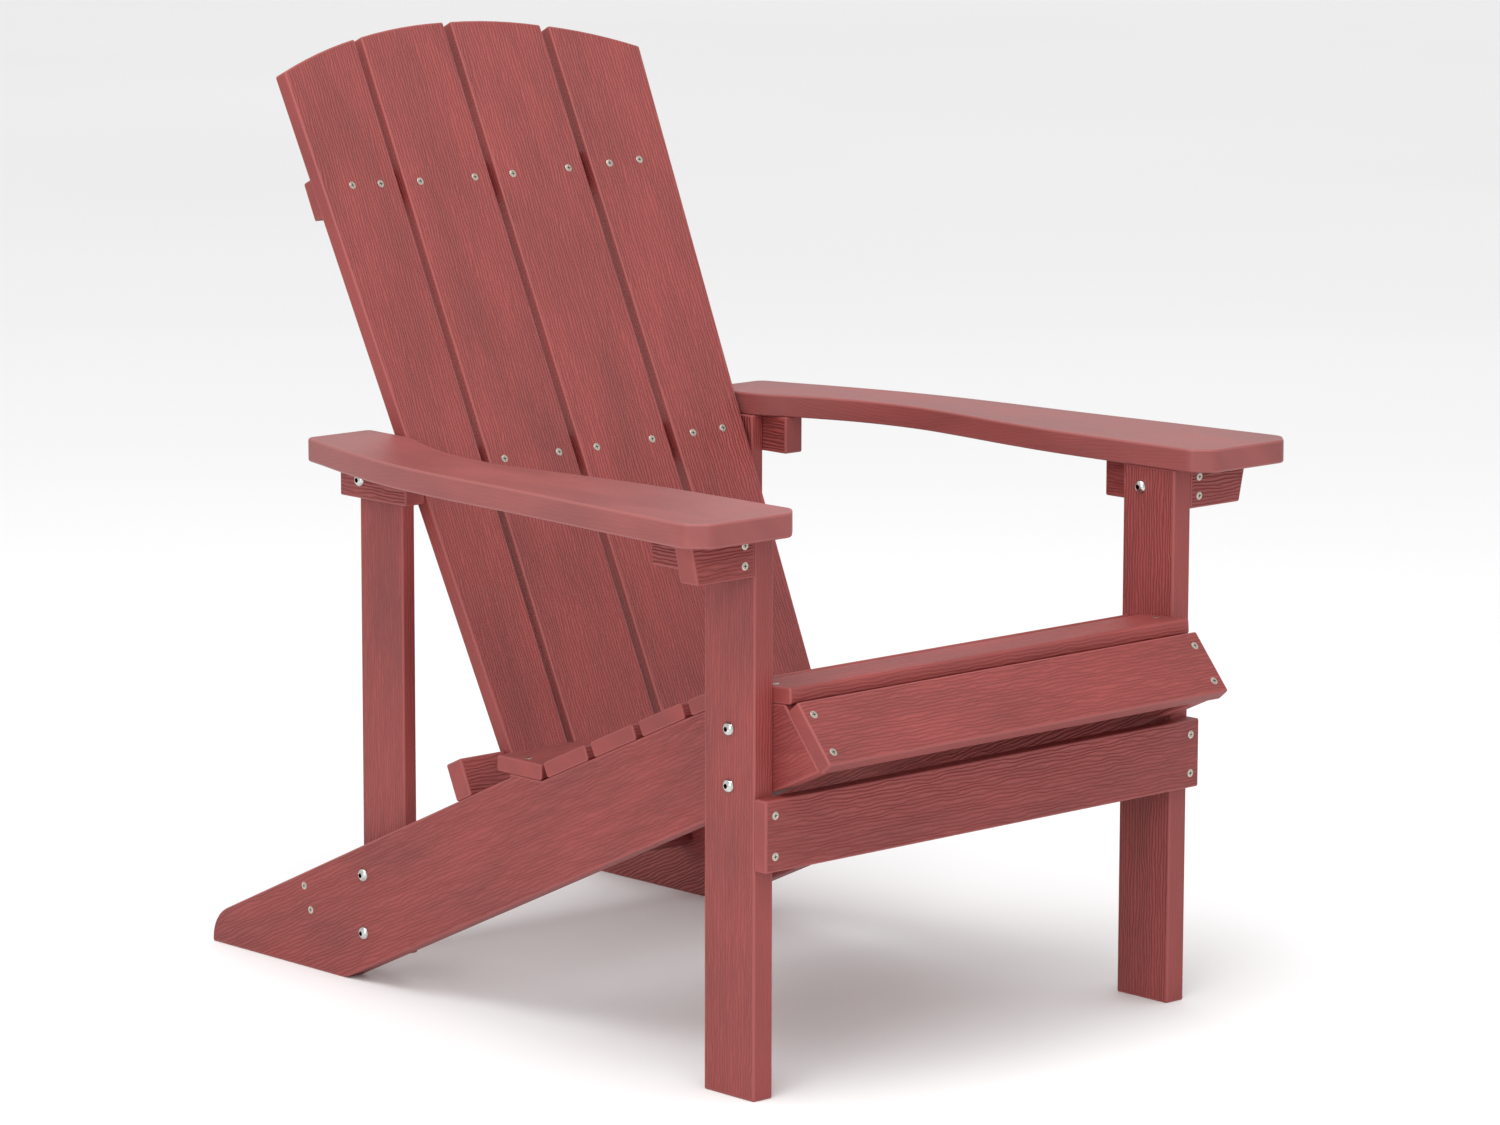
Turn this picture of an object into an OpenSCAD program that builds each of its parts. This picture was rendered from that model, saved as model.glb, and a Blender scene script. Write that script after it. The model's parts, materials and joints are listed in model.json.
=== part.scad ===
// Adirondack chair in plastic lumber, bolted and screwed together. Nothing folds or turns.
//
// Millimetres. The origin is on the ground, in the middle of the overall width and depth, and
// the chair faces -Y. "Left" is the -X side, as seen from the front.
// The Y values below count from the front face of the front legs, and to_origin() shifts each
// finished piece to the origin. Sided pieces are drawn on the +X side and mirrored for the left.

/* [Boards] */
// Thickness of the legs, stringers, back rails and arm blocks
board_t = 22.5; // [20:0.5:24]
// Thickness of the slats, rear posts, apron and front rail
slat_t = 15; // [13:0.5:16]
// Thickness of the arms
arm_t = 22; // [18:0.5:23]
// Radius of the long edges of the seat slats
slat_edge_r = 3; // [1:0.5:5]

/* [Frame] */
// Width over the front legs
frame_w = 550; // [520:5:580]
// Width of the front legs and of the front rail
leg_w = 64.5; // [60:0.5:70]
// Height of the arms at the front legs
arm_top_z = 527; // [500:1:560]
// Height of the front rail's lower edge
front_rail_z = 207; // [180:1:210]

/* [Stringers] */
// Width of the stringer boards
stringer_w = 109.5; // [105:0.5:115]
// Slope of the stringers to the ground, in degrees
stringer_slope = 24.7; // [24:0.1:25]
// Front end of the stringers' flat feet
foot_toe_y = 596; // [585:1:600]
// Rear end of the stringers' flat feet
foot_heel_y = 801; // [790:1:815]
// Radius of the rounded heels
heel_r = 36; // [20:1:40]

/* [Seat] */
// Width of a seat slat
seat_slat_w = 62; // [60:0.5:63]
// Gap between seat slats
seat_gap = 9; // [7:0.5:9]
// Lower rear corner of the rearmost slat
seat_rear_y = 371; // [368:1:374]
// Height of the rearmost slat's underside
seat_rear_z = 236; // [232:1:238]
// Slope of the three middle slats, in degrees
seat_slope = 24; // [23:0.5:25]
// Slope of the slat behind the front one, in degrees
knee_slope = 22.5; // [19:0.5:24]
// Slope of the front slat, in degrees
front_slope = 4; // [3:0.5:8]

/* [Apron] */
// Width of the apron board
apron_w = 65; // [60:1:68]
// Lean of the apron from the vertical, in degrees
apron_lean = 40; // [38:1:42]
// Front end of the stringers' top edge
apron_top_y = -14; // [-16:1:-12]

/* [Back] */
// Lean of the back from the vertical, in degrees
back_lean = 25.7; // [25:0.1:27]
// Front of the back at the middle rail, in the middle of its width
back_y = 545.6; // [540:0.2:550]
// Height of that point
back_z = 488.6; // [484:0.2:494]
// Radius of the curve that the slats stand on, hollow towards the sitter
back_curve_r = 2000; // [1500:50:4000]
// Width of the two inner back slats
inner_slat_w = 109; // [105:0.5:110]
// Gap between back slats
back_gap = 9; // [7:0.5:12]
// Half width of the back at the middle rail
back_half_w = 208.5; // [205:0.5:212]
// Widening of the back on each side, per unit of height
back_flare = 0.04; // [0.02:0.005:0.05]
// Height of the back's arched top above the middle rail, along the slats
back_top = 443; // [420:1:460]
// Radius of the arched top
back_top_r = 600; // [560:10:800]
// Width of the back rails
back_rail_w = 38.5; // [34:0.5:40]
// Thickness of the back rails in the middle, where their curved front is deepest
back_rail_t = 18; // [16:0.5:22]
// Height of the upper rail above the middle one, along the slats
upper_rail_rise = 282.5; // [270:0.5:295]
// Half length of the upper rail
upper_rail_half = 204.5; // [200:0.5:210]

/* [Arms] */
// Fall of the arms towards the rear, in degrees
arm_fall = 0.37; // [0:0.01:0.6]
// Front end of the arms
arm_front_y = -39; // [-45:1:-30]
// Cut-off at the arms' front corners
arm_chamfer = 18; // [10:1:24]
// Rounding of that cut-off's ends
arm_chamfer_r = 14; // [5:1:16]
// Height of the arm blocks at the front legs
arm_block_h = 38.5; // [36:0.5:44]

/* [Fasteners] */
// Shank of the wood screws
screw_d = 4; // [3:0.5:5]
// Head of the wood screws, sunk flush
screw_head_d = 8; // [7:0.5:9]
// Depth of the screw heads
screw_head_h = 2.5; // [2:0.5:3]
// Shank of the bolts
bolt_d = 6; // [5:0.5:7]
// Dome head of the bolts
bolt_head_d = 13; // [12:0.5:15]
// Height of the dome heads
bolt_head_h = 4.5; // [3.5:0.5:5.5]
// Nuts, across the flats
nut_flats = 10; // [10:0.5:12]
// Height of the nuts
nut_h = 5; // [4:0.5:6]

/* [Hidden] */
$fn = 48;
board_colour = "indianred";
steel_colour = "silver";

// Side planes, from the outside in
leg_outer_x = frame_w / 2;
leg_inner_x = leg_outer_x - board_t;
stringer_inner_x = leg_inner_x - board_t;
post_inner_x = stringer_inner_x - slat_t;
stringer_mid_x = (leg_inner_x + stringer_inner_x) / 2;
block_outer_x = leg_outer_x + board_t;
block_mid_x = leg_outer_x + board_t / 2;

// Stringer: its two long edges are parallel, and the front end is cut to the apron's lean
stringer_rise = stringer_w / cos(stringer_slope);
function lower_edge_z(y) = (foot_toe_y - y) * tan(stringer_slope);
function upper_edge_z(y) = lower_edge_z(y) + stringer_rise;
// The heel's rounding stays above the ground
heel_tip_r = min(heel_r, (upper_edge_z(foot_heel_y) - 1) / tan(45 - stringer_slope / 2));
down_slope = [cos(stringer_slope), -sin(stringer_slope)];
across_slope = [sin(stringer_slope), cos(stringer_slope)];

// Seat: each slat starts one gap in front of the last, on its own slope
seat_slopes = [0, seat_slope, seat_slope, seat_slope, knee_slope, front_slope];
seat_slat_count = len(seat_slopes);
function forward(slope) = [-cos(slope), sin(slope)];
function seat_rear(i) =
    i == 0
    ? [seat_rear_y, seat_rear_z]
    : seat_rear(i - 1) + seat_slat_w * forward(seat_slopes[i - 1]) + seat_gap * forward(seat_slopes[i]);
function seat_front(i) = seat_rear(i) + seat_slat_w * forward(seat_slopes[i]);
seat_step_back = 18;
seat_step_y = seat_rear_y - seat_step_back;
last_slat = seat_slat_count - 1;
apron_cut_top = [
    apron_top_y,
    seat_rear(last_slat).y + (seat_rear(last_slat).x - apron_top_y) * tan(front_slope)
];
down_apron = [-sin(apron_lean), -cos(apron_lean)];
apron_cut_length =
    (apron_cut_top.y - lower_edge_z(apron_cut_top.x))
    / (cos(apron_lean) + sin(apron_lean) * tan(stringer_slope));
apron_drop = 7;

// Overall depth, from the apron's lower front edge to the heels
front_end_y = apron_top_y - (apron_drop + apron_w) * sin(apron_lean) - slat_t * cos(apron_lean);
middle_y = (front_end_y + foot_heel_y) / 2;

// Back: positions on it are [x, height along the slats], with 0 at the middle rail. The slats are
// flat, and each is turned about the curve's axis to touch the curve in the middle of its width.
inner_slat_mid = (back_gap + inner_slat_w) / 2;
outer_slat_x = 1.5 * back_gap + inner_slat_w;
outer_slat_mid = (outer_slat_x + back_half_w) / 2;
inner_turn = asin(inner_slat_mid / back_curve_r);
outer_turn = asin(outer_slat_mid / back_curve_r);
inner_screw_x = [24, 94];
outer_screw_x = [145, 182];

// The back rails' front follows the backs of the slats. depth_at() is how far forward of the curve's
// middle that plane lies at x, on a slat turned by the given angle.
rear_curve_r = back_curve_r + slat_t;
function depth_at(x, turn, r) = back_curve_r - (r - x * sin(turn)) / cos(turn);
rail_corner_turn = (inner_turn + outer_turn) / 2;
rail_corner_r = rear_curve_r / cos((outer_turn - inner_turn) / 2);
rail_corner = [
    rail_corner_r * sin(rail_corner_turn),
    back_curve_r - rail_corner_r * cos(rail_corner_turn)
];
rail_middle_front = depth_at(0, inner_turn, rear_curve_r);
rail_rear = rail_middle_front - back_rail_t;

// Lower rail: the slats' ends stand in a shallow recess in its top
lower_rail_y = 408.5;
lower_rail_h = 36;
lower_rail_recess = 8;
lower_rail_corner = [lower_rail_y, upper_edge_z(lower_rail_y)];
lower_rail_floor = lower_rail_corner + (lower_rail_h - lower_rail_recess) * across_slope;
back_point = [back_y, back_z];
up_back = [sin(back_lean), cos(back_lean)];
slat_foot_tilt = back_lean - stringer_slope;
back_foot =
    -((back_point - lower_rail_floor) * across_slope + rail_middle_front * sin(slat_foot_tilt))
    / cos(slat_foot_tilt);
recess_half = back_half_w + back_flare * back_foot + 1;
back_foot_y = (back_point + back_foot * up_back - lower_rail_corner) * down_slope;
function lower_back_screw_y(x, turn) = back_foot_y - depth_at(x, turn, back_curve_r) + slat_t / 2;

// Arms: the outline's smooth edges run through these points, [x, y]
arm_outer_points = [[377, -10], [367, 110], [357, 220], [348, 345], [336, 430], [318, 505], [299, 568]];
arm_inner_points = [[215, 573], [219, 532], [239, 485], [258, 425], [266, 360], [263, 300], [254, 220],
                    [249, 140], [250, -10]];
arm_rear_y = 600;
arm_rear_outer = [290, arm_rear_y];
arm_rear_inner = [213, arm_rear_y];
arm_corner_r = 12;
function arm_underside_z(y) = arm_top_z - arm_t - y * tan(arm_fall);

// Rear posts and the blocks under the arms
post_y = [532, 594.5];
post_foot_z = 30;
rear_block_y = [499.5, 596];
rear_block_z = 465.5;
front_block_y = [board_t, 109];
front_block_z = arm_top_z - arm_t - arm_block_h;
bracket_x = [350, 341.6];

// Rear cross rail, in the stringers' slope
rear_rail_centre = [651.9, 68.4];
rear_rail_size = [board_t, 38];

// Fastener positions, [y, z] in the side view
leg_bolts_yz = [[33, 328.8], [33, 278.2]];
post_bolts_yz = [[567, 104.9], [567, 48.7]];
front_arm_bolt_yz = [42.7, 484.7];
rear_arm_bolt_yz = [567, 483];
rear_rail_screws_yz = [[656.7, 79.4], [647, 57.3]];
front_rail_screw_inset = 14;
front_rail_screws_z = [
    front_rail_z + front_rail_screw_inset,
    front_rail_z + leg_w - front_rail_screw_inset
];
bracket_screws_z = [477.7, 495.6];
bracket_screw_x = 286.5;
front_rail_screw_x = leg_outer_x - board_t / 2;
apron_screws = [0.22, 0.81];
front_arm_screws_y = [62, 95];
rear_arm_screws_y = [514, 546];

// Screw and bolt lengths under the head
slat_screw_length = 32;
seat_screw_length = 42;
long_screw_length = 60;
arm_screw_length = 50;
rail_bolt_grip = 25;
rail_bolt_length = board_t + slat_t + rail_bolt_grip;
bolt_end = 2;
leg_bolt_length = 2 * board_t + nut_h + bolt_end;
post_bolt_length = board_t + slat_t + nut_h + bolt_end;

SIDES = [-1, 1];

// ---- Curves ----

function unit(v) = v / norm(v);

// Arc of radius r that rounds the corner at b, between the edges to a and to c
function fillet(a, b, c, r, steps = 6) =
    let (
        to_a = unit(a - b),
        to_c = unit(c - b),
        half = acos(to_a * to_c) / 2,
        centre = b + unit(to_a + to_c) * r / sin(half),
        start = b + to_a * r / tan(half) - centre,
        end = b + to_c * r / tan(half) - centre,
        first = atan2(start.y, start.x),
        sweep = (atan2(end.y, end.x) - first + 540) % 360 - 180
    )
    [for (i = [0:steps]) centre + r * [cos(first + sweep * i / steps), sin(first + sweep * i / steps)]];

// Point at t, from 0 to 1, on the smooth stretch between b and c
function spline_point(a, b, c, d, t) =
    b + (c - a) * t / 2 + (2 * a - 5 * b + 4 * c - d) * t * t / 2 + (3 * b - a - 3 * c + d) * t * t * t / 2;

// Smooth curve through all the points p
function spline(p, steps = 5) =
    let (last = len(p) - 1)
    [
        for (i = [0:last - 1])
            for (k = [0:steps - 1])
                spline_point(p[max(i - 1, 0)], p[i], p[i + 1], p[min(i + 2, last)], k / steps),
        p[last]
    ];

// ---- Placing ----

// Shifts pieces from the front legs' front face to the chair's own origin
module to_origin() {
    translate([0, -middle_y, 0]) children();
}

// Draws its children on the +X side, or mirrored on the -X side
module on_side(side) {
    if (side < 0) {
        mirror([1, 0, 0]) children();
    } else {
        children();
    }
}

// Draws its children on both sides
module on_both_sides() {
    for (side = SIDES) on_side(side) children();
}

// A flat outline in the side view, [y, z], made into a board between two x planes
module side_board(outline, x0, x1) {
    translate([x0, 0, 0])
        rotate([90, 0, 90])
            linear_extrude(x1 - x0) polygon(outline);
}

// Side-view outline of an upright or a block that reaches up to the arm
function under_arm(y, z) = [
    [y[0], z], [y[1], z], [y[1], arm_underside_z(y[1])], [y[0], arm_underside_z(y[0])]
];

// Local Z points out of the back's front face, and local Y up along the slats
module on_back(x, height) {
    translate([x, back_y + height * sin(back_lean), back_z + height * cos(back_lean)])
        rotate([90 - back_lean, 0, 0])
            children();
}

// The same, on a slat that is turned to follow the curve: x counts from the plane of symmetry
module on_slat(turn, x, height) {
    on_back(0, height)
        translate([0, 0, back_curve_r])
            rotate([0, -turn, 0])
                translate([x - back_curve_r * sin(turn), 0, -back_curve_r])
                    children();
}

// Local Z points out of the apron's front face, and local Y up along it, from the stringers' top corner
module on_apron(x, height) {
    at = apron_cut_top - height * down_apron;
    translate([x, at.x, at.y])
        rotate([90 - apron_lean, 0, 0])
            translate([0, 0, slat_t])
                children();
}

// Local Z points out of seat slat i's top face, and local Y to the rear, from its rear edge
module on_seat_slat(i, x, y) {
    at = seat_rear(i);
    translate([x, at.x, at.y])
        rotate([-seat_slopes[i], 0, 0])
            translate([0, y, slat_t])
                children();
}

// Local Z stands square on the stringers' top edge, and local Y points down along it
module on_lower_rail(x) {
    translate([x, lower_rail_corner.x, lower_rail_corner.y])
        rotate([-stringer_slope, 0, 0])
            children();
}

// Local Z points out to the side, from the plane at x
module from_side(x, yz) {
    translate([x, yz.x, yz.y]) rotate([0, 90, 0]) children();
}

// Local Z points inwards, to the plane of symmetry
module from_inside(x, yz) {
    translate([x, yz.x, yz.y]) rotate([0, -90, 0]) children();
}

// Local Z points forwards
module from_front(x, y, z) {
    translate([x, y, z]) rotate([90, 0, 0]) children();
}

// ---- Fasteners: the head is at the origin, and the shank runs down local Z ----

module screw_body(length) {
    translate([0, 0, -screw_head_h]) cylinder(h = screw_head_h, d = screw_head_d);
    translate([0, 0, -length]) cylinder(h = length, d = screw_d);
}

// The room that a wood screw takes up in the boards, open at the surface
module screw_hole(length) {
    screw_body(length);
    translate([0, 0, -screw_head_h]) cylinder(h = screw_head_h + 1, d = screw_head_d);
}

// Wood screw with a hexagon socket
module screw(length) {
    socket_d = 3.4;
    socket_depth = 1.8;
    difference() {
        screw_body(length);
        translate([0, 0, -socket_depth]) cylinder(h = socket_depth + 1, d = socket_d, $fn = 6);
    }
}

// The room that a bolt's shank takes up in the boards
module bolt_hole(length) {
    translate([0, 0, -length]) cylinder(h = length, d = bolt_d);
}

// Bolt with a dome head and a hexagon socket
module bolt(length) {
    head_r = bolt_head_d / 2;
    dome_r = (head_r * head_r + bolt_head_h * bolt_head_h) / (2 * bolt_head_h);
    socket_d = 4.6;
    socket_depth = 2.6;
    difference() {
        union() {
            rotate_extrude()
                intersection() {
                    translate([0, bolt_head_h - dome_r]) circle(r = dome_r);
                    square([head_r, bolt_head_h]);
                }
            bolt_hole(length);
        }
        translate([0, 0, bolt_head_h - socket_depth]) cylinder(h = socket_depth + 1, d = socket_d, $fn = 6);
    }
}

// Hexagon nut, seated against the face at the origin
module nut() {
    translate([0, 0, -nut_h])
        difference() {
            cylinder(h = nut_h, d = nut_flats / cos(30), $fn = 6);
            translate([0, 0, -1]) cylinder(h = nut_h + 2, d = bolt_d);
        }
}

// ---- Where each kind of fastener goes, on both sides ----

module at_leg_bolts() {
    on_both_sides() for (yz = leg_bolts_yz) from_side(leg_outer_x, yz) children();
}

module at_leg_nuts() {
    on_both_sides() for (yz = leg_bolts_yz) from_side(stringer_inner_x, yz) children();
}

module at_post_bolts() {
    on_both_sides() for (yz = post_bolts_yz) from_side(leg_inner_x, yz) children();
}

module at_post_nuts() {
    on_both_sides() for (yz = post_bolts_yz) from_side(post_inner_x, yz) children();
}

module at_front_arm_bolts() {
    on_both_sides() from_inside(leg_inner_x, front_arm_bolt_yz) children();
}

module at_front_arm_nuts() {
    on_both_sides() from_inside(block_outer_x, front_arm_bolt_yz) children();
}

module at_rear_arm_bolts() {
    on_both_sides() from_side(leg_inner_x, rear_arm_bolt_yz) children();
}

// Two screws in each back slat, in a row at this height
module at_slat_row(height) {
    on_both_sides() {
        for (x = inner_screw_x) on_slat(inner_turn, x, height) children();
        for (x = outer_screw_x) on_slat(outer_turn, x, height) children();
    }
}

// Up through the lower rail, into the slats' lower ends
module at_lower_back_screws() {
    on_both_sides() {
        for (x = inner_screw_x) at_slat_foot(x, inner_turn) children();
        for (x = outer_screw_x) at_slat_foot(x, outer_turn) children();
    }
}

module at_slat_foot(x, turn) {
    on_lower_rail(x) translate([0, lower_back_screw_y(x, turn), 0]) rotate([180, 0, 0]) children();
}

module at_lower_rail_screws() {
    on_both_sides() on_lower_rail(stringer_mid_x) translate([0, board_t / 2, lower_rail_h]) children();
}

module at_seat_screws(i) {
    on_both_sides() on_seat_slat(i, stringer_mid_x, -seat_slat_w / 2) children();
}

module at_apron_screws() {
    on_both_sides()
        for (part = apron_screws)
            on_apron(stringer_mid_x, -apron_drop - part * apron_w)
                children();
}

module at_front_rail_screws() {
    on_both_sides() for (z = front_rail_screws_z) from_front(front_rail_screw_x, -slat_t, z) children();
}

module at_rear_rail_screws() {
    on_both_sides() for (yz = rear_rail_screws_yz) from_side(leg_inner_x, yz) children();
}

module at_bracket_screws() {
    on_both_sides() for (z = bracket_screws_z) from_front(bracket_screw_x, 0, z) children();
}

// Up through the arm blocks, into the arms
module at_arm_screws() {
    on_both_sides() {
        for (y = front_arm_screws_y)
            translate([block_mid_x, y, front_block_z]) rotate([180, 0, 0]) children();
        for (y = rear_arm_screws_y)
            translate([stringer_mid_x, y, rear_block_z]) rotate([180, 0, 0]) children();
    }
}

// ---- Back ----

// Outline of the back between two edges; only the outer edge flares
module back_slat_outline(inner_x, outer_x, flare) {
    above = back_top + 1;
    intersection() {
        polygon([
            [inner_x, back_foot], [outer_x + flare * back_foot, back_foot],
            [outer_x + flare * above, above], [inner_x, above]
        ]);
        translate([0, back_top - back_top_r]) circle(r = back_top_r, $fn = 360);
    }
}

module back_slat(side, turn, inner_x, outer_x, flare) {
    color(board_colour) to_origin()
        difference() {
            on_side(side)
                on_slat(turn, 0, 0)
                    translate([0, 0, -slat_t])
                        linear_extrude(slat_t) back_slat_outline(inner_x, outer_x, flare);
            at_slat_row(upper_rail_rise) screw_hole(slat_screw_length);
            at_slat_row(0) screw_hole(slat_screw_length);
            at_lower_back_screws() screw_hole(long_screw_length);
        }
}

module back_slat_inner(side) {
    back_slat(side, inner_turn, back_gap / 2, back_gap / 2 + inner_slat_w, 0);
}

module back_slat_outer(side) {
    back_slat(side, outer_turn, outer_slat_x, back_half_w, back_flare);
}

// Section of a back rail, [x, depth]: straight behind, and its front follows the slats
function back_rail_section(half_length) = [
    [-half_length, rail_rear], [half_length, rail_rear],
    [half_length, depth_at(half_length, outer_turn, rear_curve_r)],
    rail_corner, [0, rail_middle_front], [-rail_corner.x, rail_corner.y],
    [-half_length, depth_at(half_length, outer_turn, rear_curve_r)]
];

// Rail behind the slats, centred on the given height
module back_rail(height, half_length) {
    on_back(0, height)
        translate([0, back_rail_w / 2, 0])
            rotate([90, 0, 0])
                linear_extrude(back_rail_w) polygon(back_rail_section(half_length));
}

module upper_back_rail() {
    color(board_colour) to_origin()
        difference() {
            back_rail(upper_rail_rise, upper_rail_half);
            at_slat_row(upper_rail_rise) screw_hole(slat_screw_length);
        }
}

// Between the rear posts, behind the slats
module middle_back_rail() {
    color(board_colour) to_origin()
        difference() {
            back_rail(0, post_inner_x);
            at_slat_row(0) screw_hole(slat_screw_length);
            at_rear_arm_bolts() bolt_hole(rail_bolt_length);
        }
}

// Across the stringers' top edges, under the slats
module lower_back_rail() {
    color(board_colour) to_origin()
        difference() {
            on_lower_rail(-leg_inner_x) cube([2 * leg_inner_x, board_t, lower_rail_h]);
            on_lower_rail(-recess_half)
                translate([0, -1, lower_rail_h - lower_rail_recess])
                    cube([2 * recess_half, board_t + 2, lower_rail_recess + 1]);
            at_lower_back_screws() screw_hole(long_screw_length);
            at_lower_rail_screws() screw_hole(long_screw_length);
        }
}

// ---- Seat ----

// Section of a seat slat, with its rear edge at the origin
module seat_slat_section() {
    width = seat_slat_w;
    r = slat_edge_r;
    translate([-width, r]) square([width, slat_t - 2 * r]);
    translate([r - width, 0]) square([width - 2 * r, slat_t]);
    for (x = [r - width, -r]) for (y = [r, slat_t - r]) translate([x, y]) circle(r = r);
}

module seat_slat(i) {
    color(board_colour) to_origin()
        difference() {
            on_seat_slat(i, -leg_inner_x, 0)
                translate([0, 0, -slat_t])
                    rotate([90, 0, 90])
                        linear_extrude(2 * leg_inner_x) seat_slat_section();
            at_seat_screws(i) screw_hole(seat_screw_length);
        }
}

// ---- Frame ----

function stringer_outline() =
    let (
        seat_step = [seat_step_y, seat_rear_z],
        heel_corner = [foot_heel_y, upper_edge_z(foot_heel_y)],
        heel_foot = [foot_heel_y, 0]
    )
    concat(
        [[foot_toe_y, 0], heel_foot],
        fillet(heel_foot, heel_corner, [seat_step_y, upper_edge_z(seat_step_y)], heel_tip_r),
        [[seat_step_y, upper_edge_z(seat_step_y)], seat_step],
        [for (i = [0:last_slat]) if (i < last_slat && seat_slopes[i] != seat_slopes[i + 1]) seat_front(i)],
        [apron_cut_top, apron_cut_top + apron_cut_length * down_apron]
    );

module stringer(side) {
    color(board_colour) to_origin()
        difference() {
            on_side(side) side_board(stringer_outline(), stringer_inner_x, leg_inner_x);
            at_leg_bolts() bolt_hole(leg_bolt_length);
            at_post_bolts() bolt_hole(post_bolt_length);
            at_rear_rail_screws() screw_hole(long_screw_length);
            at_lower_rail_screws() screw_hole(long_screw_length);
            at_apron_screws() screw_hole(seat_screw_length);
            for (i = [0:last_slat]) at_seat_screws(i) screw_hole(seat_screw_length);
        }
}

module front_leg(side) {
    color(board_colour) to_origin()
        difference() {
            on_side(side) side_board(under_arm([0, leg_w], 0), leg_inner_x, leg_outer_x);
            at_leg_bolts() bolt_hole(leg_bolt_length);
            at_front_arm_bolts() bolt_hole(leg_bolt_length);
            at_front_rail_screws() screw_hole(seat_screw_length);
        }
}

// Inside the stringer, up to the arm
module rear_post(side) {
    color(board_colour) to_origin()
        difference() {
            on_side(side) side_board(under_arm(post_y, post_foot_z), post_inner_x, stringer_inner_x);
            at_post_bolts() bolt_hole(post_bolt_length);
            at_rear_arm_bolts() bolt_hole(rail_bolt_length);
        }
}

module front_apron() {
    color(board_colour) to_origin()
        difference() {
            on_apron(-leg_inner_x, -apron_drop - apron_w)
                translate([0, 0, -slat_t])
                    cube([2 * leg_inner_x, apron_w, slat_t]);
            at_apron_screws() screw_hole(seat_screw_length);
        }
}

module front_cross_rail() {
    color(board_colour) to_origin()
        difference() {
            translate([-leg_outer_x, -slat_t, front_rail_z]) cube([2 * leg_outer_x, slat_t, leg_w]);
            at_front_rail_screws() screw_hole(seat_screw_length);
        }
}

// Between the stringers, near their heels
module rear_cross_rail() {
    color(board_colour) to_origin()
        difference() {
            translate([-stringer_inner_x, rear_rail_centre.x, rear_rail_centre.y])
                rotate([-stringer_slope, 0, 0])
                    translate([0, -rear_rail_size.x / 2, -rear_rail_size.y / 2])
                        cube([2 * stringer_inner_x, rear_rail_size.x, rear_rail_size.y]);
            at_rear_rail_screws() screw_hole(long_screw_length);
        }
}

// ---- Arms ----

function arm_outline() =
    let (
        front_outer = arm_outer_points[0],
        front_inner = arm_inner_points[len(arm_inner_points) - 1],
        rear_outer = arm_outer_points[len(arm_outer_points) - 1],
        rear_inner = arm_inner_points[0],
        cut_inner = [front_inner.x + arm_chamfer, arm_front_y],
        cut_outer = [front_outer.x - arm_chamfer, arm_front_y],
        cut_y = arm_front_y + arm_chamfer,
        side_outer = [front_outer.x, cut_y],
        side_inner = [front_inner.x, cut_y]
    )
    concat(
        fillet(side_inner, cut_inner, cut_outer, arm_chamfer_r),
        fillet(cut_inner, cut_outer, side_outer, arm_chamfer_r),
        fillet(cut_outer, side_outer, front_outer, arm_chamfer_r),
        spline(arm_outer_points),
        fillet(rear_outer, arm_rear_outer, arm_rear_inner, arm_corner_r),
        fillet(arm_rear_outer, arm_rear_inner, rear_inner, arm_corner_r / 2),
        spline(arm_inner_points),
        fillet(front_inner, side_inner, cut_inner, arm_chamfer_r)
    );

module arm(side) {
    color(board_colour) to_origin()
        difference() {
            on_side(side)
                translate([0, 0, arm_top_z - arm_t])
                    rotate([-arm_fall, 0, 0])
                        linear_extrude(arm_t) polygon(arm_outline());
            at_arm_screws() screw_hole(arm_screw_length);
        }
}

module front_arm_block(side) {
    color(board_colour) to_origin()
        difference() {
            on_side(side) side_board(under_arm(front_block_y, front_block_z), leg_outer_x, block_outer_x);
            at_front_arm_bolts() bolt_hole(leg_bolt_length);
            at_bracket_screws() screw_hole(seat_screw_length);
            at_arm_screws() screw_hole(arm_screw_length);
        }
}

module rear_arm_block(side) {
    color(board_colour) to_origin()
        difference() {
            on_side(side) side_board(under_arm(rear_block_y, rear_block_z), stringer_inner_x, leg_inner_x);
            at_rear_arm_bolts() bolt_hole(rail_bolt_length);
            at_arm_screws() screw_hole(arm_screw_length);
        }
}

// Tapered board on the front of the leg's block, with its top cut to the arm's fall
module arm_bracket(side) {
    top_z = arm_underside_z(board_t);
    color(board_colour) to_origin()
        difference() {
            on_side(side)
                translate([0, board_t, 0])
                    rotate([90, 0, 0])
                        linear_extrude(board_t)
                            polygon([
                                [leg_outer_x, front_block_z], [bracket_x[1], front_block_z],
                                [bracket_x[0], top_z], [leg_outer_x, top_z]
                            ]);
            at_bracket_screws() screw_hole(seat_screw_length);
        }
}

// ---- Fastener sets ----

module leg_bolts() {
    color(steel_colour) to_origin() at_leg_bolts() bolt(leg_bolt_length);
}

module leg_nuts() {
    color(steel_colour) to_origin() at_leg_nuts() nut();
}

module post_bolts() {
    color(steel_colour) to_origin() at_post_bolts() bolt(post_bolt_length);
}

module post_nuts() {
    color(steel_colour) to_origin() at_post_nuts() nut();
}

module front_arm_bolts() {
    color(steel_colour) to_origin() at_front_arm_bolts() bolt(leg_bolt_length);
}

module front_arm_nuts() {
    color(steel_colour) to_origin() at_front_arm_nuts() nut();
}

module rear_arm_bolts() {
    color(steel_colour) to_origin() at_rear_arm_bolts() bolt(rail_bolt_length);
}

module upper_back_screws() {
    color(steel_colour) to_origin() at_slat_row(upper_rail_rise) screw(slat_screw_length);
}

module middle_back_screws() {
    color(steel_colour) to_origin() at_slat_row(0) screw(slat_screw_length);
}

module lower_back_screws() {
    color(steel_colour) to_origin() at_lower_back_screws() screw(long_screw_length);
}

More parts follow.
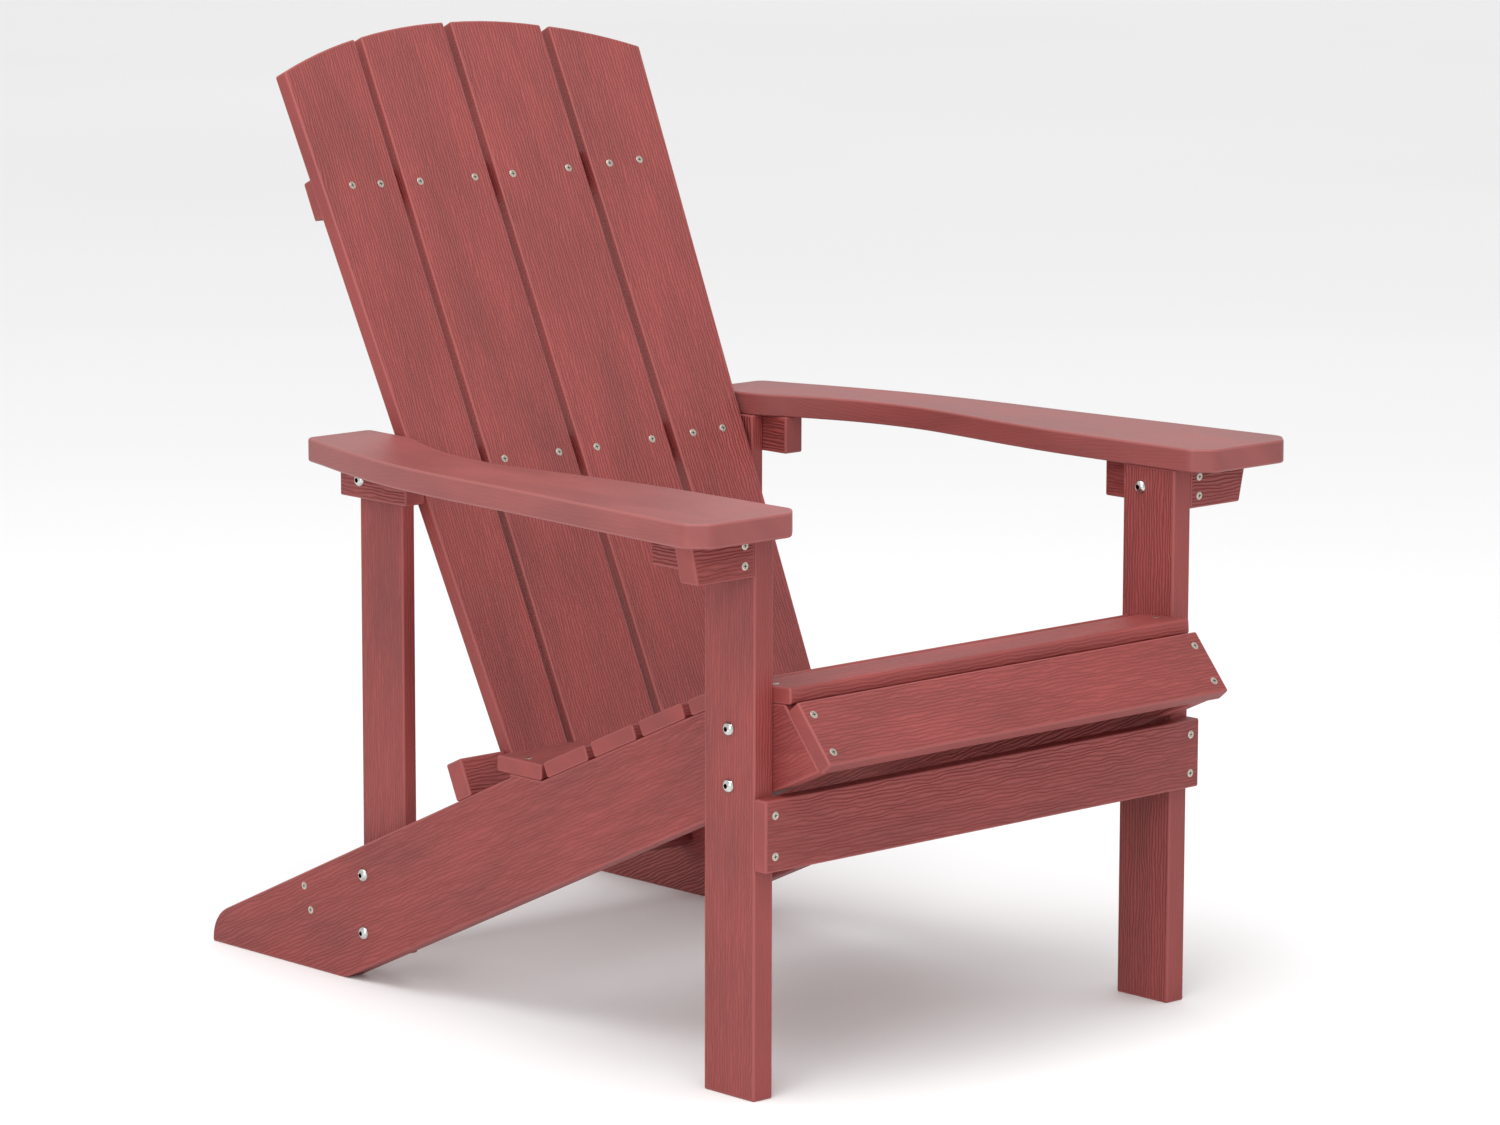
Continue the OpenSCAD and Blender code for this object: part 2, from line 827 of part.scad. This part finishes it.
module lower_rail_screws() {
    color(steel_colour) to_origin() at_lower_rail_screws() screw(long_screw_length);
}

module seat_screws() {
    color(steel_colour) to_origin() for (i = [0:last_slat]) at_seat_screws(i) screw(seat_screw_length);
}

module apron_screws() {
    color(steel_colour) to_origin() at_apron_screws() screw(seat_screw_length);
}

module front_rail_screws() {
    color(steel_colour) to_origin() at_front_rail_screws() screw(seat_screw_length);
}

module rear_rail_screws() {
    color(steel_colour) to_origin() at_rear_rail_screws() screw(long_screw_length);
}

module arm_bracket_screws() {
    color(steel_colour) to_origin() at_bracket_screws() screw(seat_screw_length);
}

module arm_screws() {
    color(steel_colour) to_origin() at_arm_screws() screw(arm_screw_length);
}

back_slat_outer(-1);  // back_slat_outer_left
back_slat_inner(-1);  // back_slat_inner_left
back_slat_inner(1);  // back_slat_inner_right
back_slat_outer(1);  // back_slat_outer_right
upper_back_rail();
middle_back_rail();
lower_back_rail();
seat_slat(0);  // seat_slat_1
seat_slat(1);  // seat_slat_2
seat_slat(2);  // seat_slat_3
seat_slat(3);  // seat_slat_4
seat_slat(4);  // seat_slat_5
seat_slat(5);  // seat_slat_6
stringer(-1);  // stringer_left
stringer(1);  // stringer_right
front_leg(-1);  // front_leg_left
front_leg(1);  // front_leg_right
rear_post(-1);  // rear_post_left
rear_post(1);  // rear_post_right
arm(-1);  // arm_left
arm(1);  // arm_right
front_arm_block(-1);  // front_arm_block_left
front_arm_block(1);  // front_arm_block_right
rear_arm_block(-1);  // rear_arm_block_left
rear_arm_block(1);  // rear_arm_block_right
arm_bracket(-1);  // arm_bracket_left
arm_bracket(1);  // arm_bracket_right
front_apron();
front_cross_rail();
rear_cross_rail();
leg_bolts();
leg_nuts();
post_bolts();
post_nuts();
front_arm_bolts();
front_arm_nuts();
rear_arm_bolts();
upper_back_screws();
middle_back_screws();
lower_back_screws();
lower_rail_screws();
seat_screws();
apron_screws();
front_rail_screws();
rear_rail_screws();
arm_bracket_screws();
arm_screws();
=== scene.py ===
"""Adirondack chair in red plastic lumber: the visible model, its materials and a plain studio.

Every board and fastener is rebuilt from its CAD node, in metres. Boards get rounded edges and an
embossed grain that runs along their length, and fasteners get flat or domed heads with sockets.
"""

import json
import math

import bmesh
import bpy
import numpy as np
from mathutils import Matrix, Vector


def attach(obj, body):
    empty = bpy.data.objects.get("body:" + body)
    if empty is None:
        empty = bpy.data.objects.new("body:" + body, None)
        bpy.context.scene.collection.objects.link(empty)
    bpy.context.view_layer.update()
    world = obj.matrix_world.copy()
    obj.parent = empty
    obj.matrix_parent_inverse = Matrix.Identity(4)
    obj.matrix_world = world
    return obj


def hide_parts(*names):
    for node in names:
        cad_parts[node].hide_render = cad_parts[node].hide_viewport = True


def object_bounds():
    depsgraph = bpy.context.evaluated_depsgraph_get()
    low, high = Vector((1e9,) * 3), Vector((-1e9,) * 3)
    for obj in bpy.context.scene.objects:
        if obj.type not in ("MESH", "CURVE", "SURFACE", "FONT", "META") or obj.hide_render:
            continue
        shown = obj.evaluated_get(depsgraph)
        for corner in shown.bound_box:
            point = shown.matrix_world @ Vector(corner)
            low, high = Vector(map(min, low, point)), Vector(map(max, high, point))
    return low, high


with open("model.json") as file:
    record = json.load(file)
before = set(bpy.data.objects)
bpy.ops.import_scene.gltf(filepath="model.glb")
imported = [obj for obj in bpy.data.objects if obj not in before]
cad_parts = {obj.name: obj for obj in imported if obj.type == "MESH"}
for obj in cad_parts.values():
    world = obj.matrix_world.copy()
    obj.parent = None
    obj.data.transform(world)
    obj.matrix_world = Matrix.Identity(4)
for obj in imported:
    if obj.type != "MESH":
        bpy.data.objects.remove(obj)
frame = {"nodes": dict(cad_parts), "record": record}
cad_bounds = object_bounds()

MM = 0.001
SHARP = math.radians(30)  # edges above this angle are rounded
FLAT = math.radians(0.2)  # faces that meet at less than this are one flat face
SMOOTH = math.radians(40)  # a fastener's edges below this angle are shaded smooth
WELD = 0.01 * MM

ARM_EDGE = 2.2 * MM
SLAT_END_EDGE = 1.6 * MM
BOARD_EDGE = 1.8 * MM
NUT_EDGE = 0.5 * MM
EDGE_STEPS = 4

GRAIN_STEP = 1.37  # how far apart the grain of one board and the next are sampled


# ---- Camera, light and floor ----

def make_camera():
    """A long lens from the front left, a little above the arms."""
    azimuth, elevation, roll = math.radians(-42.85), math.radians(9.77), math.radians(0.13)
    distance = 5.459
    off_centre = Vector((0.026, -0.034, -0.041))
    lowest, highest = cad_bounds
    aim = (lowest + highest) / 2 + off_centre
    back = Vector((math.sin(azimuth) * math.cos(elevation),
                   -math.cos(azimuth) * math.cos(elevation),
                   math.sin(elevation)))
    data = bpy.data.cameras.new("camera")
    data.lens = 139.5
    data.sensor_width = 36
    data.clip_end = 100
    camera = bpy.data.objects.new("camera", data)
    camera.rotation_mode = "QUATERNION"
    turn = Matrix.Rotation(roll, 4, back).to_quaternion()
    camera.rotation_quaternion = turn @ (-back).to_track_quat("-Z", "Y")
    camera.location = aim + back * distance
    bpy.context.scene.collection.objects.link(camera)
    bpy.context.scene.camera = camera


def area_light(name, location, target, size, power):
    """A square light of a given side, turned to its target."""
    data = bpy.data.lights.new(name, "AREA")
    data.shape = "SQUARE"
    data.size = size
    data.energy = power
    light = bpy.data.objects.new(name, data)
    light.location = location
    light.rotation_mode = "QUATERNION"
    light.rotation_quaternion = (Vector(target) - Vector(location)).to_track_quat("-Z", "Y")
    bpy.context.scene.collection.objects.link(light)


def make_studio():
    """White surroundings, a large soft light overhead and a fill from the front left."""
    scene = bpy.context.scene
    scene.view_settings.view_transform = "Standard"
    world = bpy.data.worlds.new("studio")
    world.use_nodes = True
    world.node_tree.nodes["Background"].inputs["Color"].default_value = (1, 1, 1, 1)
    world.node_tree.nodes["Background"].inputs["Strength"].default_value = 0.95
    scene.world = world
    middle = (0, 0, 0.4)
    area_light("overhead", (-0.9, -0.7, 3.2), middle, size=2.4, power=66)
    area_light("left_fill", (-3.2, -1.9, 1.5), middle, size=1.8, power=40)


def make_floor():
    """A plain floor that runs far past the edges of the view."""
    half = 30
    mesh = bpy.data.meshes.new("floor")
    corners = [(-half, -half, 0), (half, -half, 0), (half, half, 0), (-half, half, 0)]
    mesh.from_pydata(corners, [], [(0, 1, 2, 3)])
    floor = bpy.data.objects.new("floor", mesh)
    bpy.context.scene.collection.objects.link(floor)
    mesh.materials.append(floor_material())


# ---- Materials ----

class Nodes:
    """A material's node tree, with short calls to add and link nodes."""

    def __init__(self, name):
        self.material = bpy.data.materials.new(name)
        self.material.use_nodes = True
        self.tree = self.material.node_tree
        self.shader = self.tree.nodes["Principled BSDF"]

    def add(self, kind, **inputs):
        node = self.tree.nodes.new("ShaderNode" + kind)
        for key, value in inputs.items():
            self.set(node, key, value)
        return node

    def fill(self, socket, value):
        """Links another node's output to a socket, or sets the socket's own value."""
        if isinstance(value, bpy.types.NodeSocket):
            self.tree.links.new(value, socket)
        else:
            socket.default_value = value

    def set(self, node, key, value):
        """Fills a node's input, where the key is its name with _ for spaces."""
        self.fill(node.inputs[key.replace("_", " ")], value)

    def attribute(self, name):
        node = self.add("Attribute")
        node.attribute_name = name
        return node

    def ramp(self, factor, stops):
        node = self.add("ValToRGB", Fac=factor)
        elements = node.color_ramp.elements
        while len(elements) < len(stops):
            elements.new(0.5)
        for element, (place, colour) in zip(elements, stops):
            element.position = place
            element.color = (*colour, 1)
        return node.outputs["Color"]

    def math(self, operation, a, b):
        node = self.add("Math")
        node.operation = operation
        for socket, value in zip(node.inputs, (a, b)):
            self.fill(socket, value)
        return node.outputs[0]

    def mix(self, factor, a, b, blend="MIX"):
        node = self.add("MixRGB", Fac=factor, Color1=a, Color2=b)
        node.blend_type = blend
        return node.outputs["Color"]

    def scaled(self, vector, scale):
        return self.add("Mapping", Vector=vector, Scale=scale).outputs["Vector"]


def lumber_material(name, red, highlight, relief, roughness):
    """Plastic lumber: embossed grain lines on the broad faces, and rounded edges made paler by a
    painted highlight.

    The pieces carry three attributes. grain is a point's place along and across its board, emboss is
    how deep the grain is on that face, and edge is 1 on the rounded edges.
    """
    line_share, stroke_share, speckle_share = 0.7, 0.6, 0.12
    valley_share, highlight_share = 0.9, 0.55
    dark = tuple(c * 0.84 for c in red)
    light = tuple(c * 1.12 for c in red)

    nodes = Nodes(name)
    place = nodes.attribute("grain").outputs["Vector"]
    emboss = nodes.attribute("emboss").outputs["Fac"]
    edge = nodes.attribute("edge").outputs["Fac"]

    lines = nodes.add("TexWave", Vector=nodes.scaled(place, (0.3, 1, 1)), Scale=92.0, Distortion=7.0,
                      Detail=2.0, Detail_Scale=1.1, Detail_Roughness=0.55)
    lines.bands_direction = "Y"
    strokes = nodes.add("TexNoise", Vector=nodes.scaled(place, (0.1, 1, 1)), Scale=320.0, Detail=3.0,
                        Roughness=0.6).outputs["Fac"]
    speckle = nodes.add("TexNoise", Vector=place, Scale=1400.0, Detail=2.0).outputs["Fac"]
    patches = nodes.add("TexNoise", Vector=nodes.scaled(place, (0.35, 1, 1)), Scale=22.0,
                        Detail=2.0).outputs["Fac"]

    ridges = nodes.math("ADD", nodes.math("MULTIPLY", lines.outputs["Fac"], line_share),
                        nodes.math("MULTIPLY", strokes, stroke_share))
    relief_height = nodes.math("MULTIPLY", ridges, emboss)
    height = nodes.math("ADD", relief_height, nodes.math("MULTIPLY", speckle, speckle_share))
    bump = nodes.add("Bump", Strength=1.0, Distance=relief, Height=height)
    nodes.set(nodes.shader, "Normal", bump.outputs["Normal"])

    tone = nodes.ramp(patches, [(0.3, dark), (0.7, light)])
    valleys = nodes.ramp(ridges, [(0.2, (0.80, 0.77, 0.77)), (0.8, (1.08, 1.08, 1.08))])
    lined = nodes.mix(emboss, tone, nodes.mix(valley_share, tone, valleys, "MULTIPLY"))
    # painted highlight: the rounded edges are mixed towards a paler colour, as if they catch the light
    highlight_amount = nodes.math("MULTIPLY", edge, highlight_share)
    nodes.set(nodes.shader, "Base Color", nodes.mix(highlight_amount, lined, (*highlight, 1)))
    gloss = nodes.add("MapRange", Value=patches, To_Min=roughness - 0.05, To_Max=roughness + 0.07)
    nodes.set(nodes.shader, "Roughness", gloss.outputs["Result"])
    nodes.shader.inputs["Specular IOR Level"].default_value = 0.42
    return nodes.material


def steel_material(name, colour, roughness):
    """Bright steel with fine turning marks and slight tarnish, dark inside its sockets."""
    nodes = Nodes(name)
    place = nodes.add("TexCoord").outputs["Object"]
    tarnish = nodes.add("TexNoise", Vector=place, Scale=260.0, Detail=4.0).outputs["Fac"]
    marks = nodes.add("TexNoise", Vector=place, Scale=2600.0, Detail=2.0).outputs["Fac"]
    dull = tuple(c * 0.7 for c in colour)
    socket = nodes.attribute("socket").outputs["Fac"]
    bright = nodes.ramp(tarnish, [(0.3, dull), (0.65, colour)])
    shaded = nodes.ramp(tarnish, [(0.3, (0.02, 0.02, 0.02)), (0.65, (0.05, 0.05, 0.05))])
    nodes.set(nodes.shader, "Base Color", nodes.mix(socket, bright, shaded))
    gloss = nodes.add("MapRange", Value=tarnish, To_Min=roughness + 0.12, To_Max=roughness)
    nodes.set(nodes.shader, "Roughness", gloss.outputs["Result"])
    nodes.set(nodes.shader, "Normal",
              nodes.add("Bump", Strength=0.15, Distance=0.0001, Height=marks).outputs["Normal"])
    nodes.shader.inputs["Metallic"].default_value = 1.0
    return nodes.material


def floor_material():
    """Nearly even pale grey."""
    nodes = Nodes("floor")
    place = nodes.add("TexCoord").outputs["Object"]
    cloud = nodes.add("TexNoise", Vector=place, Scale=0.6, Detail=1.0).outputs["Fac"]
    pale = nodes.ramp(cloud, [(0.0, (0.86, 0.86, 0.86)), (1.0, (0.9, 0.9, 0.9))])
    nodes.set(nodes.shader, "Base Color", pale)
    nodes.shader.inputs["Roughness"].default_value = 0.9
    nodes.shader.inputs["Specular IOR Level"].default_value = 0.1
    return nodes.material


# ---- Boards ----

def cad_mesh(node):
    """The CAD node's mesh, with its corners welded."""
    shape = bmesh.new()
    shape.from_mesh(frame["nodes"][node].data)
    bmesh.ops.remove_doubles(shape, verts=shape.verts, dist=WELD)
    return shape


def groups(items, near):
    """Splits items into groups that near(item), which gives an item's neighbours, joins together."""
    left = set(items)
    for first in items:
        if first not in left:
            continue
        left.remove(first)
        group, front = [], [first]
        while front:
            item = front.pop()
            group.append(item)
            found = [other for other in near(item) if other in left]
            left.difference_update(found)
            front.extend(dict.fromkeys(found))
        yield group


def islands(edges):
    """Groups of edges that meet at their ends."""
    return groups(edges, lambda edge: (e for v in edge.verts for e in v.link_edges))


def flat_regions(shape, creases):
    """Groups of faces with no crease between them."""
    return groups(shape.faces,
                  lambda face: (f for e in face.edges if e not in creases for f in e.link_faces))


def span(edges):
    """The diagonal of the box round a group of edges."""
    places = np.array([v.co for e in edges for v in e.verts])
    return np.linalg.norm(places.max(0) - places.min(0))


def corners_of(region, outline):
    """A flat region's corners on the board's outline, in order round it."""
    following = {loop.vert: loop.link_loop_next.vert
                 for face in region for loop in face.loops if loop.edge in outline}
    corners = []
    corner = next(iter(following), None)
    while corner is not None and corner not in corners:
        corners.append(corner)
        corner = following[corner]
    return corners


def plain_board(node):
    """The CAD board as one face for each flat side, without its screw holes, which the heads fill."""
    shape = cad_mesh(node)
    creases = [e for e in shape.edges if e.calc_face_angle(0) > FLAT]
    outline = set(max(islands(creases), key=span))
    creases = set(creases)
    plain = bmesh.new()
    twins = {}
    for region in flat_regions(shape, creases):
        corners = corners_of(region, outline)
        if not corners:
            continue
        for corner in corners:
            if corner not in twins:
                twins[corner] = plain.verts.new(corner.co)
        plain.faces.new([twins[corner] for corner in corners])
    shape.free()
    bmesh.ops.dissolve_verts(plain, verts=[v for v in plain.verts if len(v.link_edges) == 2])
    bmesh.ops.recalc_face_normals(plain, faces=plain.faces)
    return plain


def board_axes(shape):
    """(along, across, through) of a board, where through is square to its broad face.

    A straight board runs along its longest edge, and a curved one along the spread of its points.
    """
    straight = 0.4  # shortest longest edge of a straight board, as a share of its extent
    through = max(shape.faces, key=lambda f: f.calc_area()).normal.copy()
    longest = max(shape.edges, key=lambda e: e.calc_length())
    places = np.array([v.co for v in shape.verts])
    extent = np.linalg.norm(places.max(0) - places.min(0))
    if longest.calc_length() > straight * extent:
        along = (longest.verts[1].co - longest.verts[0].co).normalized()
    else:
        along = Vector(np.linalg.svd(places - places.mean(0), full_matrices=False)[2][0])
    along = (along - through * along.dot(through)).normalized()
    return along, through.cross(along), through


def paint_attributes(mesh, axes, rounded, offset):
    """Writes the grain, emboss and edge attributes that the lumber material reads."""
    broad, end, side_depth = 0.9, 0.3, 0.3
    along, across, through = axes
    grain = mesh.attributes.new("grain", "FLOAT_VECTOR", "POINT")
    for vertex, item in zip(mesh.vertices, grain.data):
        item.vector = (vertex.co.dot(along) + offset,
                       vertex.co.dot(across) + vertex.co.dot(through) + offset,
                       offset)
    emboss = mesh.attributes.new("emboss", "FLOAT", "FACE")
    edge = mesh.attributes.new("edge", "FLOAT", "FACE")
    for face in mesh.polygons:
        if face.index in rounded:
            edge.data[face.index].value = 1.0
        elif abs(face.normal.dot(through)) > broad:
            emboss.data[face.index].value = 1.0
        elif abs(face.normal.dot(along)) < end:
            emboss.data[face.index].value = side_depth


def add_piece(name, mesh, node, material):
    """Puts a finished mesh in the scene in place of its CAD node."""
    piece = bpy.data.objects.new(name, mesh)
    bpy.context.scene.collection.objects.link(piece)
    mesh.materials.append(material)
    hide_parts(node)
    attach(piece, "root")
    return piece


def even_shading(piece):
    """Smooth edges between flat faces."""
    for face in piece.data.polygons:
        face.use_smooth = True
    weighted = piece.modifiers.new("even_shading", "WEIGHTED_NORMAL")
    weighted.keep_sharp = True


def sharp_edges(shape):
    """The edges to round."""
    return [e for e in shape.edges if e.calc_face_angle(0) > SHARP]


def make_board(node, radius, material, number):
    """A board with rounded edges and its own stretch of grain."""
    shape = plain_board(node)
    axes = board_axes(shape)
    result = bmesh.ops.bevel(shape, geom=sharp_edges(shape), offset=radius, offset_type="OFFSET",
                             segments=EDGE_STEPS, profile=0.5, affect="EDGES", clamp_overlap=False,
                             loop_slide=False)
    shape.faces.index_update()
    rounded = {f.index for f in result["faces"]}
    mesh = bpy.data.meshes.new(node + "_board")
    shape.to_mesh(mesh)
    shape.free()
    paint_attributes(mesh, axes, rounded, number * GRAIN_STEP)
    even_shading(add_piece(node + "_board", mesh, node, material))


# ---- Fasteners ----

def fastener_places(node):
    """(head face, direction out of the head, length) of each screw or bolt in a CAD node."""
    rim = 0.9  # a head's rim is everything beyond this share of its radius
    shape = cad_mesh(node)
    places = []
    for group in islands(shape.edges):
        points = np.array([v.co for v in {v for e in group for v in e.verts}])
        middle = points.mean(0)
        axis = np.linalg.svd(points - middle, full_matrices=False)[2][0]
        height = (points - middle) @ axis
        radius = np.linalg.norm(points - middle - np.outer(height, axis), axis=1)
        wide = height[radius > rim * radius.max()].mean()
        if wide < 0:
            axis, height = -axis, -height
        places.append((Vector(middle + axis * height.max()), Vector(axis), height.max() - height.min()))
    shape.free()
    return places


def lathe(shape, place, profile, steps):
    """Closed surface through rings of (radius, height, lobe), where lobe(angle) scales a ring's radius.

    The last ring is the floor of the socket.
    """
    origin, axis = place
    turn = axis.to_track_quat("Z", "Y")
    rings = []
    for radius, height, lobe in profile:
        ring = []
        for step in range(steps):
            angle = 2 * math.pi * step / steps
            reach = radius * lobe(angle)
            at = Vector((reach * math.cos(angle), reach * math.sin(angle), height))
            ring.append(shape.verts.new(origin + turn @ at))
        rings.append(ring)
    made = [shape.faces.new((low[k], low[(k + 1) % steps], high[(k + 1) % steps], high[k]))
            for low, high in zip(rings, rings[1:]) for k in range(steps)]
    shape.faces.new(rings[0][::-1])
    made.append(shape.faces.new(rings[-1]))
    socket = shape.faces.layers.float["socket"]
    for face in made[-steps - 1:]:
        face[socket] = 1.0


def disc(angle):
    """Round ring shape."""
    return 1.0


def hexagon(angle):
    """Ring shape with six flats, as wide at its corners as a disc."""
    sixth = math.pi / 3
    return math.cos(sixth / 2) / math.cos(angle % sixth - sixth / 2)


def cross(angle):
    """Ring shape with four narrow arms."""
    quarter, notch, waist = math.pi / 2, 0.32, 0.42
    return 1.0 if abs(angle % quarter - quarter / 2) > quarter * notch else waist


def make_screws(node, material):
    """Wood screws with a soft-edged head, a hair above the board, and a cross recess."""
    crown, head, head_height = 0.4 * MM, 3.75 * MM, 2.2 * MM
    shank, point, steps = 1.95 * MM, 4 * MM, 40
    shape = bmesh.new()
    shape.faces.layers.float.new("socket")
    for origin, axis, length in fastener_places(node):
        lathe(shape, (origin, axis), [
            (shank * 0.2, -length, disc), (shank, -length + point, disc), (shank, -head_height, disc),
            (head, -head_height * 0.6, disc), (head, crown * 0.2, disc),
            (head * 0.92, crown * 0.8, disc), (head * 0.66, crown, disc),
            (head * 0.56, crown, cross), (head * 0.5, crown * 0.3, cross),
        ], steps)
    finish_fasteners(shape, node, material)


def make_bolts(node, material):
    """Dome-headed bolts with a hexagon socket."""
    head, height, lip = 6.5 * MM, 4.5 * MM, 0.4 * MM
    shank, chamfer, steps = 2.95 * MM, 0.8 * MM, 36
    socket, socket_depth = 2.5 * MM, 3 * MM
    dome_angles = (10, 22, 34, 46, 57, 66)
    shape = bmesh.new()
    shape.faces.layers.float.new("socket")
    for origin, axis, length in fastener_places(node):
        dome = [(head * math.cos(t), -height + height * math.sin(t), disc)
                for t in map(math.radians, dome_angles)]
        lathe(shape, (origin, axis), [
            (shank * 0.8, -length, disc), (shank, -length + chamfer, disc), (shank, -height, disc),
            (head * 0.97, -height, disc), (head, -height + lip, disc), *dome,
            (socket, -height + height * 0.93, hexagon), (socket * 0.94, -socket_depth, hexagon),
        ], steps)
    finish_fasteners(shape, node, material)


def finish_fasteners(shape, node, material):
    """Puts a node's fasteners in the scene as one piece, smooth but for its sharp edges."""
    bmesh.ops.recalc_face_normals(shape, faces=shape.faces)
    for edge in shape.edges:
        edge.smooth = edge.calc_face_angle(0) < SMOOTH
    mesh = bpy.data.meshes.new(node + "_set")
    shape.to_mesh(mesh)
    shape.free()
    even_shading(add_piece(node + "_set", mesh, node, material))


def make_nuts(node, material):
    """Hexagon nuts with their corners taken off."""
    shape = cad_mesh(node)
    bmesh.ops.bevel(shape, geom=sharp_edges(shape), offset=NUT_EDGE, offset_type="OFFSET", segments=2,
                    profile=0.5, affect="EDGES", clamp_overlap=True)
    finish_fasteners(shape, node, material)


# ---- The chair ----

make_camera()
make_studio()
make_floor()

slot_of = {item["node"]: item["material_slot"] for item in frame["record"]["subparts"]}
materials = {
    # the second colour of each lumber is its painted highlight, laid on the rounded edges
    "board": lumber_material("red_lumber", red=(0.242, 0.042, 0.038), highlight=(0.30, 0.075, 0.07),
                             relief=1.1 * MM, roughness=0.55),
    # the arm lumber is a slightly pinker red than the other boards: painted sheen for the light on the
    # arm tops
    "arm_board": lumber_material("arm_lumber", red=(0.235, 0.056, 0.052), highlight=(0.29, 0.085, 0.08),
                                 relief=0.25 * MM, roughness=0.45),
    "bolt_steel": steel_material("bolt_steel", colour=(0.6, 0.6, 0.58), roughness=0.14),
    "screw_steel": steel_material("screw_steel", colour=(0.55, 0.51, 0.44), roughness=0.28),
}

for number, (node, slot) in enumerate(sorted(slot_of.items())):
    material = materials[slot]
    if node.endswith("screws"):
        make_screws(node, material)
    elif node.endswith("bolts"):
        make_bolts(node, material)
    elif node.endswith("nuts"):
        make_nuts(node, material)
    elif slot == "arm_board":
        make_board(node, ARM_EDGE, material, number)
    elif node.startswith("seat_slat"):
        make_board(node, SLAT_END_EDGE, material, number)
    else:
        make_board(node, BOARD_EDGE, material, number)
